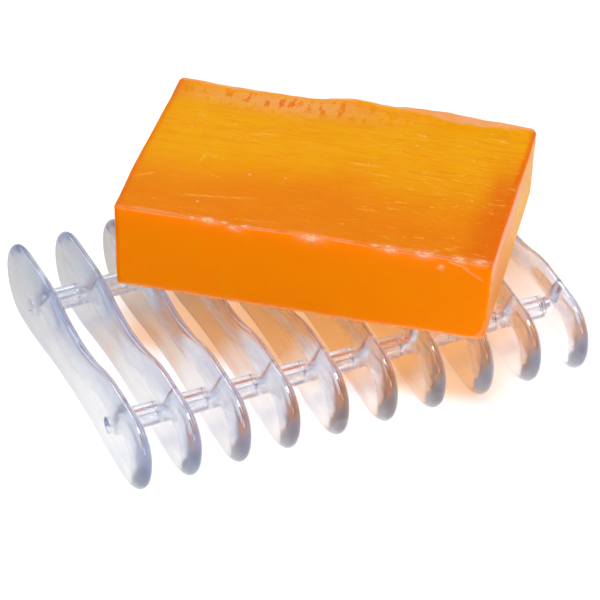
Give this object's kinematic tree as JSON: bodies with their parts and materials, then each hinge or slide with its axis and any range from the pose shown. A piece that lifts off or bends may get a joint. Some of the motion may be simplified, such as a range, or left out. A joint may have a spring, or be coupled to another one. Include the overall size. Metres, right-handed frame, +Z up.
{
  "type": "slatted soap dish with soap bar",
  "caption": "Clear slatted dish of dog-bone slats on two spaced rods, draining a hand-cut translucent soap bar that lies askew on its dipped top.",
  "frame": {"origin": "middle of the dish, on the surface that it stands on", "axes": "+X along the rods from the first slat to the last, +Y along the slats away from the soap's front face, +Z up"},
  "size_m": [0.1247, 0.1006, 0.0443],
  "materials": {
    "slat_plastic": "clear moulded plastic, polished",
    "rod_plastic": "clear drawn rod, polished",
    "spacer_plastic": "clear tube, polished",
    "soap": "translucent orange glycerine soap, hand cut, satin"
  },
  "bodies": {
    "dish": {"slat_01": "slat_plastic", "slat_02": "slat_plastic", "slat_03": "slat_plastic", "slat_04": "slat_plastic", "slat_05": "slat_plastic", "slat_06": "slat_plastic", "slat_07": "slat_plastic", "slat_08": "slat_plastic", "slat_09": "slat_plastic", "slat_10": "slat_plastic", "rod_front": "rod_plastic", "rod_rear": "rod_plastic", "spacer_front_01": "spacer_plastic", "spacer_front_02": "spacer_plastic", "spacer_front_03": "spacer_plastic", "spacer_front_04": "spacer_plastic", "spacer_front_05": "spacer_plastic", "spacer_front_06": "spacer_plastic", "spacer_front_07": "spacer_plastic", "spacer_front_08": "spacer_plastic", "spacer_front_09": "spacer_plastic", "spacer_rear_01": "spacer_plastic", "spacer_rear_02": "spacer_plastic", "spacer_rear_03": "spacer_plastic", "spacer_rear_04": "spacer_plastic", "spacer_rear_05": "spacer_plastic", "spacer_rear_06": "spacer_plastic", "spacer_rear_07": "spacer_plastic", "spacer_rear_08": "spacer_plastic", "spacer_rear_09": "spacer_plastic"},
    "soap": {"soap_bar": "soap"}
  },
  "joints": [
    {"name": "soap_lift", "type": "slide", "parent": "dish", "child": "soap", "axis": [0, 0, 1], "range_m": [0, 0.05]}
  ]
}
